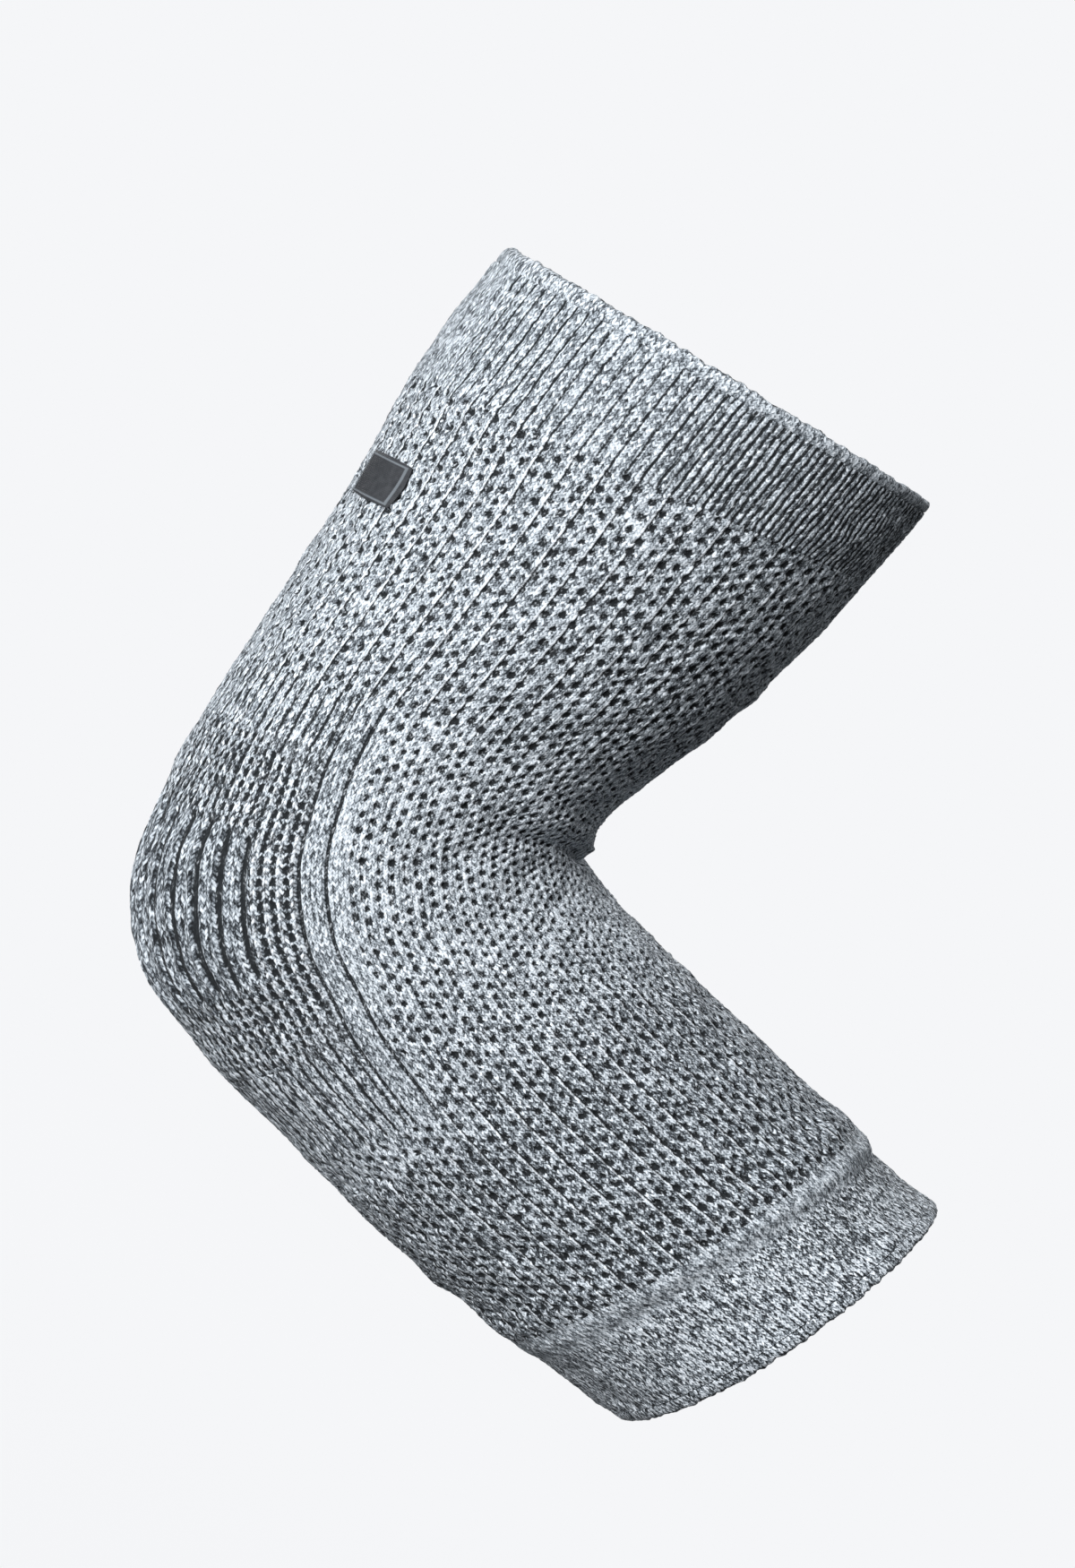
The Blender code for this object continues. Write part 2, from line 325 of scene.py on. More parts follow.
def cuff_lines(c):
    """Fine furrows, one to a cell on the sides of the cuff and two to a cell at its front."""
    away = size(c)
    faint = smooth(away, 15.0, 18.0) * smooth(away, 24.0, 21.0) * 0.25
    # At the cuff's front, which lies in shade, the furrows widen: in the colour this is painted
    # shade in the grooves.
    shaded_front_widening = 0.12 * smooth(away, 24.0, 30.0)
    whole = line(repeat(c) * CELL_WIDTH, 0.38 + shaded_front_widening) * smooth(away, 5.0, 9.0) * (1 - faint)
    half = line(repeat(c + 0.5) * CELL_WIDTH, 0.28 + shaded_front_widening) * smooth(away, 20.0, 27.0)
    return larger(whole, half)


def rib_lines(c):
    """Plain lengthwise furrows, one to a cell."""
    return line(repeat(c) * CELL_WIDTH, 0.55)


WAFFLE_ROUND = 1.25     # waffle cells in one knit cell, round the sleeve
WAFFLE_ALONG = 1.6      # and along it
PAD_REACH = 15.0        # cells from the back to where the pad's channels stop


def waffle_dashes(c, r):
    """Short dark slots, one beside each raised block."""
    x = repeat(c * WAFFLE_ROUND) / WAFFLE_ROUND * CELL_WIDTH
    y = repeat(r * WAFFLE_ALONG) / WAFFLE_ALONG * CELL_LENGTH
    return line(x, 0.82) * line(y, 1.0)


def waffle_blocks(c, r):
    """Raised light blocks between the slots."""
    x = repeat(c * WAFFLE_ROUND + 0.42) / WAFFLE_ROUND * CELL_WIDTH
    y = repeat(r * WAFFLE_ALONG) / WAFFLE_ALONG * CELL_LENGTH
    return line(x, 0.60) * line(y, 0.76)


def waffle_area(c, r):
    """1 inside the rounded outline of the waffle knit, round the pad."""
    x = c / 17.6
    y = (r * CELL_LENGTH - 132.5) / 30.5
    return smooth(power(x, 4.0) + power(y, 4.0), 1.1, 0.95)


def channel_count(c):
    """Channels between the middle of the pad and a place, whole numbers on the channels."""
    away = size(c) * CELL_DEG
    return (9.2 - root(9.2 * 9.2 - 0.96 * away)) / 0.48


def pad_area(c, r):
    """1 where the pad is ribbed: its ends curve in towards its sides."""
    q = channel_count(c)
    curve = 0.08 * power(q, 2.0)
    along = r * CELL_LENGTH
    return smooth(along, 114.5 + curve, 117.5 + curve) * smooth(along, 150.6 - curve, 147.6 - curve)


def pad_channels(c, r, half_width=0.17):
    return line(repeat(channel_count(c)), half_width) * pad_area(c, r)


def zones(c, r):
    """Relief in millimetres over the whole grid, zone by zone."""
    relief = np.zeros_like(c)

    def zone(rows, columns, values):
        top, bottom = [line_number * FINE for line_number in rows]
        low, high = [line_number * FINE for line_number in columns]
        picked = np.zeros_like(c, bool)
        column = np.abs(np.arange(c.shape[1]) - HALF_TURN * FINE)
        picked[top:bottom + 1] = (column >= low) & (column <= high)
        relief[picked] = values[picked]

    holes = -HOLE_DEPTH * mesh_holes(c, r) + RIB_HEIGHT * raised_rib(c)
    furrows = -FURROW_DEPTH * rib_lines(c)
    waffle = -DASH_DEPTH * waffle_dashes(c, r) + WAFFLE_HEIGHT * waffle_blocks(c, r)
    area = waffle_area(c, r)
    waffle = waffle * area + furrows * (1 - area)
    pad_c = np.clip(c, -PAD_REACH, PAD_REACH)
    padded = pad_area(pad_c, r)
    swell = CHANNEL_SWELL * np.cos(2 * np.pi * repeat(channel_count(pad_c)))
    ribs = swell - CHANNEL_DEPTH * pad_channels(pad_c, r, 0.24)
    ribs = ribs * padded + waffle * (1 - padded)
    zone((0, CUFF_TOP), (0, HALF_TURN), -CUFF_LINE_DEPTH * cuff_lines(c))
    zone((CUFF_TOP, ELBOW_TOP), (0, HALF_TURN), holes)
    zone((ELBOW_TOP, WAFFLE_TOP), (0, INNER_LINE), furrows)
    below = below_ribs(r)
    zone((WAFFLE_BOTTOM, ELBOW_BOTTOM), (0, INNER_LINE), furrows * (1 - below) + holes * below)
    zone((WAFFLE_TOP, WAFFLE_BOTTOM), (0, INNER_LINE), waffle)
    zone((PAD_TOP, PAD_BOTTOM), (0, PAD_SIDE), ribs)
    zone((ELBOW_TOP, ELBOW_BOTTOM), (INNER_LINE, OUTER_LINE),
         BAND_HEIGHT * (1 - below) + holes * below)
    zone((ELBOW_TOP, ELBOW_BOTTOM), (OUTER_LINE, HALF_TURN), holes * beside_line(c, r))
    zone((ELBOW_BOTTOM, BAND_TOP), (0, HALF_TURN), holes)
    zone((BAND_TOP, BLOCKS_ALONG), (0, HALF_TURN), 0 * c)
    away = np.abs(c)
    long_lines = larger(line(away - INNER_LINE / 2, 0.22), line(away - OUTER_LINE / 2, 0.22))
    long_lines = long_lines * smooth(r, 27.8, 28.6) * (1 - below)
    return relief - LONG_LINE_DEPTH * long_lines


def nap(shape):
    """Small random bumps of single stitches, in millimetres; the ring's two ends agree."""
    bumps = np.random.default_rng(NAP_SEED).normal(0.0, NAP, shape)
    bumps[:, -1] = bumps[:, 0]
    for axis in (0, 1):
        bumps = (np.roll(bumps, 1, axis) + bumps + np.roll(bumps, -1, axis)) / 3
    bumps[:, -1] = bumps[:, 0]
    return bumps


def crease_fold(along, angle):
    """The furrow in the inner side of the bent elbow, and the roll of fabric above it."""
    t = np.clip((np.abs(angle) - 112) / 68, 0, 1)
    past = along - (111.5 + 24.5 * t ** 1.25)
    furrow = np.exp(-(past / (2.2 + 1.6 * t)) ** 2)
    roll = np.exp(-((past + 9.0) / 5.5) ** 2)
    return smooth(t, 0.02, 0.45) * (1.1 * roll - 1.2 * furrow) - 2.4 * furrow * smooth(t, 0.6, 1.0)


def cuff_step(along, angle):
    """The mesh puffs out above the lower cuff, which pulls the sleeve in."""
    back = 1.6 * np.sin(np.radians(angle)) ** 2
    puff = np.exp(-((along + back - 232.5) / 4.5) ** 2)
    roll = np.exp(-((along + back - 239.0) / 2.2) ** 2)
    pull = smooth(along + back, 238.5, 243.5) * smooth(along, 261.0, 250.0)
    inner = (1 - np.cos(np.radians(angle))) / 2
    return 0.9 * puff + 0.45 * roll - (0.2 + 1.0 * inner) * pull


def uneven(along, wale):
    """Slow waves, as knit fabric never lies quite even: random knots on a coarse periodic grid."""
    rows, columns = 38, 36
    knots = np.random.default_rng(WAVES_SEED).normal(0.0, 1.0, (rows + 2, columns))
    y = along / SLEEVE_LENGTH * rows
    x = (wale + 180) / 360 * columns
    i = np.floor(y).astype(int)
    j = np.floor(x).astype(int)
    fy = smooth(y - i, 0.0, 1.0)
    fx = smooth(x - j, 0.0, 1.0)
    left, right = j % columns, (j + 1) % columns
    top = knots[i, left] * (1 - fx) + knots[i, right] * fx
    low = knots[i + 1, left] * (1 - fx) + knots[i + 1, right] * fx
    return WAVES * (top * (1 - fy) + low * fy)


def drape(along, wale):
    """Relief of the whole fabric, in millimetres, which both its faces follow."""
    angle = swung(along, wale)
    ends = smooth(along, 0.0, 6.0) * smooth(along, SLEEVE_LENGTH, SLEEVE_LENGTH - 6.0)
    return crease_fold(along, angle) + cuff_step(along, angle) + uneven(along, wale) * ends


# -------- the sleeve's surface

def smooth_between(values, along):
    """Values at distances along the sleeve, on cubic curves through all the sections."""
    slopes = np.gradient(values, STATIONS, axis=0)
    i = np.clip(np.searchsorted(STATIONS, along) - 1, 0, len(STATIONS) - 2)
    span = STATIONS[i + 1] - STATIONS[i]
    t = (along - STATIONS[i]) / span
    if values.ndim == 2:
        span, t = span[..., None], t[..., None]
    start = (1 + 2 * t) * (1 - t) ** 2 * values[i] + t * t * (3 - 2 * t) * values[i + 1]
    bend = t * (1 - t) ** 2 * slopes[i] + t * t * (t - 1) * slopes[i + 1]
    return start + span * bend


def bowed(along, angle):
    """The forearm opening is cut in a slight bow: its sides reach furthest."""
    near_rim = smooth(along, SLEEVE_LENGTH - 24.0, SLEEVE_LENGTH)
    return along + RIM_BOW * near_rim * np.sin(angle) ** 2 * (1 + 0.4 * np.cos(angle))


def surface(along, wale, depth):
    """World positions in metres; the three arrays have the same shape."""
    along = bowed(along, np.radians(wale))
    back = smooth_between(BACKS, along)
    front = smooth_between(FRONTS, along)
    half_width = smooth_between(WIDTHS, along) / 2 - depth
    across = front - back
    half_depth = np.linalg.norm(across, axis=-1) / 2
    angle = np.radians(swung(along, wale))
    forward = across * (((half_depth - depth) / (2 * half_depth)) * np.cos(angle))[..., None]
    place = (back + front) / 2 - forward - ORIGIN
    return np.stack([place[..., 0], half_width * np.sin(angle), place[..., 1]], axis=-1) * MM


def swung(along, wale):
    """True angle round the sleeve of a place on the swinging knit lines."""
    side = INNER_LINE * BLOCK_DEG
    fade = np.clip((180 - np.abs(wale)) / (180 - side), 0, 1) * side
    extra = np.where(np.abs(wale) < side, wale, np.sign(wale) * fade)
    return wale + SWING * extra * np.exp(-((along - SWING_MIDDLE) / SWING_LENGTH) ** 2)


def grid_normals(points, ring_rows, ring_columns):
    """Unit normals of a grid of points; a ring's first and last lines are the same place."""
    def slope(axis, ring):
        steps = np.gradient(points, axis=axis)
        if ring:
            wrapped = np.take(points, [1], axis) - np.take(points, [-2], axis)
            first = [slice(None)] * 3
            last = [slice(None)] * 3
            first[axis], last[axis] = slice(0, 1), slice(-1, None)
            steps[tuple(first)] = wrapped / 2
            steps[tuple(last)] = wrapped / 2
        return steps
    normals = np.cross(slope(1, ring_columns), slope(0, ring_rows))
    return normals / np.maximum(np.linalg.norm(normals, axis=-1, keepdims=True), 1e-12)


# -------- meshes

FINE_STRIP = (0.01, 0.74)       # heights in the UV square of a piece's fine skin
COARSE_STRIP = (0.76, 0.96)     # of its coarse one
WALL_STRIP = (0.975, 0.995)     # and of the walls between them


def flat(*grids):
    """The places of several grids, one after the other."""
    return np.concatenate([grid.reshape(-1, 3) for grid in grids])


def make_mesh(name, points, normals, knit, faces, materials):
    """A smooth mesh piece. faces is a list of (corner array, UV array, material number)."""
    corners = np.concatenate([f.ravel() for f, uv, number in faces])
    used, corners = np.unique(corners, return_inverse=True)
    sizes = np.concatenate([np.full(len(f), f.shape[1]) for f, uv, number in faces])
    starts = np.concatenate([[0], np.cumsum(sizes)[:-1]])
    mesh = bpy.data.meshes.new(name)
    mesh.vertices.add(len(used))
    mesh.vertices.foreach_set("co", points[used].astype(np.float32).ravel())
    mesh.loops.add(len(corners))
    mesh.loops.foreach_set("vertex_index", corners.astype(np.int32).ravel())
    mesh.polygons.add(len(sizes))
    mesh.polygons.foreach_set("loop_start", starts.astype(np.int32))
    numbers = np.concatenate([np.full(len(f), number) for f, uv, number in faces])
    mesh.polygons.foreach_set("material_index", numbers.astype(np.int32))
    mesh.update(calc_edges=True)
    uvs = mesh.uv_layers.new(name="OFBake")
    uv_values = np.concatenate([uv.ravel() for f, uv, number in faces])
    uvs.uv.foreach_set("vector", uv_values.astype(np.float32))
    stitch = mesh.attributes.new("knit", "FLOAT_VECTOR", "POINT")
    stitch.data.foreach_set("vector", knit[used].astype(np.float32).ravel())
    mesh.shade_smooth()
    mesh.normals_split_custom_set_from_vertices(normals[used].astype(np.float32))
    for material in materials:
        mesh.materials.append(material)
    piece = bpy.data.objects.new(name, mesh)
    bpy.context.scene.collection.objects.link(piece)
    return piece


def grid_faces(first, rows, columns):
    """Corner numbers of all the faces of a grid of rows x columns faces, outward side up."""
    i, j = np.meshgrid(np.arange(rows), np.arange(columns), indexing="ij")
    start = first + i * (columns + 1) + j
    return np.stack([start, start + 1, start + columns + 2, start + columns + 1], axis=-1)


def face_uvs(rows, columns, strip):
    """UVs of a grid's faces, in a strip of the square between two heights."""
    low, high = strip
    i, j = np.meshgrid(np.arange(rows), np.arange(columns), indexing="ij")
    corners = [(i, j), (i, j + 1), (i + 1, j + 1), (i + 1, j)]
    return np.stack([np.stack([0.01 + 0.98 * b / columns, low + (high - low) * a / rows], axis=-1)
                     for a, b in corners], axis=-2)


def wall_faces(filled, ring, fine_columns, coarse_first):
    """Walls between the fine and the coarse skin wherever the filled blocks end."""
    rows, columns = filled.shape
    framed = np.pad(filled, 1)
    if ring:
        framed[:, 0], framed[:, -1] = framed[:, -2], framed[:, 1]
    walls = []
    step = np.arange(FINE + 1)
    for above in (True, False):
        i, j = np.nonzero((framed[:-1, 1:-1] == above) & (framed[1:, 1:-1] != above))
        fine = (i * FINE)[:, None] * fine_columns + (j * FINE)[:, None] + step
        coarse = coarse_first + i[:, None] * (columns + 1) + j[:, None] + np.array([1, 0])
        wall = np.concatenate([fine, coarse], axis=1)
        walls.append(wall if above else wall[:, ::-1])
    for left in (True, False):
        i, j = np.nonzero((framed[1:-1, :-1] == left) & (framed[1:-1, 1:] != left))
        fine = (i * FINE)[:, None] * fine_columns + (j * FINE)[:, None] + step * fine_columns
        coarse = coarse_first + (i[:, None] + np.array([1, 0])) * (columns + 1) + j[:, None]
        wall = np.concatenate([fine, coarse], axis=1)
        walls.append(wall[:, ::-1] if left else wall)
    return np.concatenate(walls)


def shell(name, fine, fine_normals, coarse, knit, filled, materials, inside_out=False):
    """A closed piece with one fine skin and one coarse skin; inside out, the fine skin is inner."""
    rows, columns = filled.shape
    ring = columns == BLOCKS_ROUND
    coarse_normals = grid_normals(coarse, False, ring)
    fine_rows, fine_columns = rows * FINE, columns * FINE
    count = (fine_rows + 1) * (fine_columns + 1)
    picked = np.repeat(np.repeat(filled, FINE, 0), FINE, 1)
    walls = wall_faces(filled, ring, fine_columns + 1, count)
    wall_uv = np.zeros((len(walls), FINE + 3, 2))
    wall_uv[..., 0] = (np.arange(len(walls)) / max(len(walls), 1))[:, None]
    wall_uv[..., 0] += np.append(np.arange(FINE + 1), [FINE, 0]) * 1e-3
    wall_uv[..., 1] = np.repeat(WALL_STRIP, (FINE + 1, 2))
    faces = [
        (grid_faces(0, fine_rows, fine_columns)[picked],
         face_uvs(fine_rows, fine_columns, FINE_STRIP)[picked], 0),
        (grid_faces(count, rows, columns)[filled][:, ::-1],
         face_uvs(rows, columns, COARSE_STRIP)[filled][:, ::-1], 1),
        (walls, wall_uv, 1),
    ]
    if inside_out:
        faces = [(f[:, ::-1], uv[:, ::-1], number) for f, uv, number in faces]
        fine_normals, coarse_normals = -fine_normals, -coarse_normals
    return make_mesh(name, flat(fine, coarse), flat(fine_normals, -coarse_normals),
                     flat(knit, knit[::FINE, ::FINE]), faces, materials)


def grid_values(rows, columns, fine=True):
    """Distances along and wale angles over the blocks between two pairs of block lines."""
    per_block = FINE if fine else 1
    along, wale = [np.linspace(start, end, (end - start) * per_block + 1) * step
                   for (start, end), step in ((rows, BLOCK_LENGTH), (columns, BLOCK_DEG))]
    return np.meshgrid(along, wale, indexing="ij")


def knit_cells(along, wale):
    """Pattern cells at places on the sleeve, as an array of vectors."""
    c = wale / CELL_DEG
    r = along / CELL_LENGTH
    return np.stack([c, r, np.zeros_like(c)], axis=-1)


class Sleeve:
    """The outer face of the whole sleeve, from which the outer pieces are cut."""

    def __init__(self):
        along, wale = grid_values((0, BLOCKS_ALONG), ALL_ROUND)
        self.knit = knit_cells(along, wale)
        relief = zones(self.knit[..., 0], self.knit[..., 1]) + nap(along.shape)
        self.points = surface(along, wale, -relief - drape(along, wale))
        self.normals = grid_normals(self.points, False, True)

    def piece(self, name, rows, columns, thickness, materials, hole=None):
        """Cut out the blocks between two pairs of block lines, without those of the hole."""
        def cut(values):
            top, bottom = rows[0] * FINE, rows[1] * FINE
            low, high = [(column + HALF_TURN) * FINE for column in columns]
            return values[top:bottom + 1, low:high + 1]
        along, wale = grid_values(rows, columns, fine=False)
        coarse = surface(along, wale, thickness - drape(along, wale))
        filled = np.ones((rows[1] - rows[0], columns[1] - columns[0]), bool)
        if hole is not None:
            (top, bottom), (low, high) = hole
            filled[max(top - rows[0], 0):max(bottom - rows[0], 0),
                   low - columns[0]:high - columns[0]] = False
        return shell(name, cut(self.points), cut(self.normals), coarse, cut(self.knit), filled,
                     materials)


def layer(name, rows, columns, depth, thickness, relief, materials, inside_out=False):
    """A hidden or inner layer. Its fine skin is the outer one, or the inner one inside out."""
    along, wale = grid_values(rows, columns)
    knit = knit_cells(along, wale)
    raised = relief(knit[..., 0], knit[..., 1])
    coarse_along, coarse_wale = grid_values(rows, columns, fine=False)
    outer, inner = depth, depth + thickness
    fine_depth = inner + raised if inside_out else outer - raised
    fine_depth = fine_depth - drape(along, wale)
    coarse_depth = (outer if inside_out else inner) - drape(coarse_along, coarse_wale)
    ring = columns[1] - columns[0] == BLOCKS_ROUND
    fine = surface(along, wale, fine_depth)
    coarse = surface(coarse_along, coarse_wale, coarse_depth)
    filled = np.ones((rows[1] - rows[0], columns[1] - columns[0]), bool)
    return shell(name, fine, grid_normals(fine, False, ring), coarse, knit, filled, materials,
                 inside_out)


def hoop(name, along, depth, material):
    """A ring round the sleeve with a closed profile; both arrays are profile x round."""
    columns = along.shape[1] - 1
    rows = along.shape[0] - 1
    wale = np.broadcast_to(np.linspace(-180, 180, columns + 1), along.shape)
    points = surface(along, wale, depth - drape(along, wale))
    steps = np.hypot(np.diff(along, axis=0), np.diff(depth, axis=0))
    travelled = np.concatenate([np.zeros((1, columns + 1)), np.cumsum(steps, axis=0)])
    knit = np.stack([wale / CELL_DEG, travelled / CELL_LENGTH, 0 * travelled], axis=-1)
    faces = [(grid_faces(0, rows, columns).reshape(-1, 4),
              face_uvs(rows, columns, (0.01, 0.99)).reshape(-1, 4, 2), 0)]
    normals = grid_normals(points, True, True)
    return make_mesh(name, flat(points), flat(normals), flat(knit), faces, [material])


# -------- materials

SPECULAR = 0.2          # every material here reflects little
SHEEN_ROUGHNESS = 0.6


class Look:
    """A material under construction, with the nodes that most of the patterns share."""

    def __init__(self, name):
        self.material = bpy.data.materials.new(name)
        self.material.use_nodes = True
        self.tree = self.material.node_tree
        self.shader = self.tree.nodes["Principled BSDF"]
        knit = self.node("ShaderNodeAttribute")
        knit.attribute_name = "knit"
        split = self.node("ShaderNodeSeparateXYZ")
        self.tree.links.new(knit.outputs["Vector"], split.inputs[0])
        self.c = Value(self.tree, split.outputs[0])
        self.r = Value(self.tree, split.outputs[1])

    def node(self, kind):
        return self.tree.nodes.new(kind)

    def link(self, value, slot):
        connect(self.tree, value, slot)

    def vector(self, x, y, z=0.0):
        node = self.node("ShaderNodeCombineXYZ")
        for slot, value in zip(node.inputs, (x, y, z)):
            self.link(value, slot)
        return Value(self.tree, node.outputs[0])

    def white(self, x, y):
        """A random number from 0 to 1 for every whole x and y."""
        node = self.node("ShaderNodeTexWhiteNoise")
        node.noise_dimensions = "3D"
        self.link(self.vector(x, y), node.inputs["Vector"])
        return Value(self.tree, node.outputs["Value"])

    def noise(self, x, y, detail=2.0, z=0.0):
        """Smooth noise from about 0 to 1, with features of about one unit."""
        node = self.node("ShaderNodeTexNoise")
        node.inputs["Scale"].default_value = 1.0
        node.inputs["Detail"].default_value = detail
        self.link(self.vector(x, y, z), node.inputs["Vector"])
        return Value(self.tree, node.outputs[0])

    def ramp(self, value, stops):
        """Colours at stops from 0 to 1, blended between them."""
        node = self.node("ShaderNodeValToRGB")
        node.color_ramp.elements.remove(node.color_ramp.elements[1])
        for number, (place, colour) in enumerate(stops):
            if number == 0:
                stop = node.color_ramp.elements[0]
                stop.position = place
            else:
                stop = node.color_ramp.elements.new(place)
            stop.color = (*colour, 1.0)
        self.link(value, node.inputs[0])
        return Value(self.tree, node.outputs[0])

    def mix(self, share, colour, plain_colour):
        """The first colour, from nodes, blended towards a plain one."""
        node = self.node("ShaderNodeMix")
        node.data_type = "RGBA"
        self.link(share, node.inputs[0])
        self.link(colour, node.inputs[6])
        node.inputs[7].default_value = (*plain_colour, 1.0)
        return Value(self.tree, node.outputs[2])

    def bump(self, height, distance, strength):
        """Relief finer than the mesh; the distance is in metres."""
        node = self.node("ShaderNodeBump")
        node.inputs["Distance"].default_value = distance
        node.inputs["Strength"].default_value = strength
        self.link(height, node.inputs["Height"])
        self.tree.links.new(node.outputs[0], self.shader.inputs["Normal"])

    def finish(self, colour, roughness, sheen=0.0):
        """Set the shader's other inputs, and hand back the material."""
        self.link(colour, self.shader.inputs["Base Color"])
        self.link(roughness, self.shader.inputs["Roughness"])
        self.link(sheen, self.shader.inputs["Sheen Weight"])
        self.link(SHEEN_ROUGHNESS, self.shader.inputs["Sheen Roughness"])
        self.link(SPECULAR, self.shader.inputs["Specular IOR Level"])
        return self.material


# Colours of the fibres, linear; the black also serves as painted shade in the eyelets.
BLACK_YARN_AND_SHADE = (0.008, 0.010, 0.012)
DARK_YARN = (0.055, 0.064, 0.075)
GREY_YARN = (0.225, 0.255, 0.285)
PALE_YARN = (0.515, 0.565, 0.615)
WHITE_YARN = (0.720, 0.765, 0.815)

LEGS = 5.0          # slanted yarn legs in a cell, round the sleeve
COURSES = 4.0       # rows of stitches in a cell, along the sleeve


def stitches(look):
    """Each leg of each knitted V: its random tone and its rounded height."""
    legs = look.c * LEGS
    leg = floor(legs)
    side = leg - 2 * floor(leg / 2)
    across = legs - leg
    lean = (across - 0.5) * (side * 2 - 1)
    course = look.r * COURSES + lean * 0.9
    down = repeat(course)
    tone = look.white(leg, floor(course + 0.5))
    x = across - 0.5
    v = repeat(legs / 2 - 0.5)
    height = (1 - x * x * 1.6) * (1 - v * v * 2.4) * (1 - down * down * 2.4)
    return tone, height


def heather(look, tone, height, shift, contrast=1.0):
    """Melange yarn: short runs of dark and light fibre, one tone to a stitch leg, with painted
    light and shade: each leg lighter on its rounded top and darker in the gaps between legs.
    """
    run = look.noise(look.c * 6.3, look.r * 5.4, 1.0, 7.3)
    fibre = look.noise(look.c * 22.0, look.r * 9.0, 2.0, 3.1)
    # The height term paints light on the legs' tops and shade in the gaps between them.
    mixed = tone * 0.28 + run * 0.46 + fibre * 0.30 + height * 0.26 - 0.655
    value = mixed * contrast + 0.5 + shift
    colour = look.ramp(value, [(0.29, BLACK_YARN_AND_SHADE), (0.405, DARK_YARN), (0.508, GREY_YARN),
                               (0.62, PALE_YARN), (0.75, WHITE_YARN)])
    return colour, value


def knit_look(name, pattern, shift=0.0, contrast=1.0, fade=0.0):
    """A knitted material. The pattern gives how dark and how light each place is, 0 to 1.

    The shift makes it lighter. The fade darkens it, and sharpens its grain, down the forearm."""
    look = Look(name)
    tone, height = stitches(look)
    faded = fade * smooth(look.r, 44.0, 60.0)
    colour, grain = heather(look, tone, height, shift - faded, contrast + faded * 2.5)
    wobble = look.noise(look.c * 6.5, look.r * 6.5, 1.0, 1.7) - 0.5
    other = look.noise(look.c * 6.5, look.r * 6.5, 1.0, 5.9) - 0.5
    dark, light = pattern(look, look.c + wobble * 0.32, look.r + other * 0.32)
    if light is not None:
        light = light * clamp((grain - 0.22) * 2.6)
        colour = look.mix(light * 0.85, colour, WHITE_YARN)
    if dark is not None:
        dark = clamp(dark * 1.7 - smooth(dark, 0.0, 0.1) * (grain - 0.36) * 2.6)
        # Mixed towards black: in the eyelets this is painted shade, standing in for the shade seen
        # through real holes.
        colour = look.mix(dark * 0.97, colour, BLACK_YARN_AND_SHADE)
        height = height - dark * 1.5
    look.bump(height, 0.00014, 0.55)
    return look.finish(colour, 0.9, 0.03)


def plain_pattern(look, c, r):
    """Stitches only."""
    return None, None


def lower_cuff_pattern(look, c, r):
    """Short broken furrows between the columns of stitches."""
    broken = smooth(look.noise(look.c * 1.9, look.r * 1.3, 1.0, 6.2), 0.44, 0.60)
    return line(repeat(look.c * 2) / 2 * CELL_WIDTH, 0.30) * broken * 0.7, None


def mesh_pattern(look, c, r, ribs=1.0):
    """Eyelets, painted dark as shade that stands in for holes, and fine ribs that each have a dark
    furrow beside them.
    """
    beside = 2 * repeat(look.c / 2) * CELL_WIDTH
    dotted = 0.65 + 0.35 * look.white(floor(look.r * 8.0), floor(look.c / 2 + 0.5))
    ridge = line(beside - 0.28, 0.30) * dotted
    furrow = line(beside + 0.18, 0.30) * 0.8
    holes = mesh_holes(c, r)
    return clamp(larger(holes, furrow * ribs)), ridge * ribs


def elbow_mesh_pattern(look, c, r):
    ribs = 0.25 + 0.75 * smooth(look.r, 52.0, 58.0)
    dark, ridge = mesh_pattern(look, c, r, ribs)
    inside = beside_line(look.c, look.r)
    return larger(dark * inside, long_line(look, OUTER_LINE)), ridge * inside


def long_line(look, block):
    """The dark line down one of the two long channels."""
    reach = smooth(look.r, 27.9, 28.5) * (1 - below_ribs(look.r))
    dotted = 0.86 + 0.14 * look.white(floor(look.r * 5.0), block)
    return line((size(look.c) - block / 2) * CELL_WIDTH, 0.56) * reach * dotted


def band_pattern(look, c, r):
    lines = larger(long_line(look, OUTER_LINE), long_line(look, INNER_LINE))
    return larger(lines, mesh_holes(c, r) * below_ribs(look.r)), None


def cuff_pattern(look, c, r):
    strength = look.noise(look.c * 2.3, look.r * 0.5, 1.0, 4.4)
    waver = (look.noise(look.c * 0.6, look.r * 0.9, 1.0, 2.6) - 0.5) * 0.2
    return cuff_lines(look.c + waver) * smooth(strength, -0.10, 0.45), None


def rib_pattern(look, c, r):
    strength = look.noise(look.c * 1.3, look.r * 0.9, 1.0, 8.4)
    below = below_ribs(look.r)
    ribs = rib_lines(look.c) * smooth(strength, 0.05, 0.45) * (1 - below)
    return larger(ribs + mesh_holes(c, r) * below, long_line(look, INNER_LINE)), None


def waffle_pattern(look, c, r):
    c = look.c + (c - look.c) * 0.5
    area = waffle_area(look.c, look.r)
    outside = 1 - area
    dark = waffle_dashes(c, r) * area + rib_lines(look.c) * outside * 0.65
    return larger(dark, long_line(look, INNER_LINE)), waffle_blocks(c, r) * area + outside * 0.15


def pad_pattern(look, c, r):
    q = channel_count(look.c)
    specks = smooth(look.white(floor(look.r * 6), floor(q)), 0.5, 0.7)
    specks = line(repeat(q + 0.5), 0.05) * specks * 0.55
    area = pad_area(look.c, look.r)
    dark = larger(pad_channels(look.c, r), specks) * area + waffle_dashes(c, r) * (1 - area)
    return dark, waffle_blocks(c, r) * (1 - area)


def inside_look(name, shift):
    """The wrong side of the knit: flat rows of purl loops."""
    look = Look(name)
    course = look.r * COURSES
    arc = look.c * LEGS / 2
    row = floor(course)
    tone = look.white(floor(arc + 0.5 * (row - 2 * floor(row / 2))), row)
    down = repeat(course)
    height = 1 - down * down * 3
    # The height of the purl rows also paints shade between the rows and light on their tops.
    colour, grain = heather(look, tone, height * 0.7, shift)
    look.bump(height, 0.0002, 0.8)
    return look.finish(colour, 0.9, 0.2)


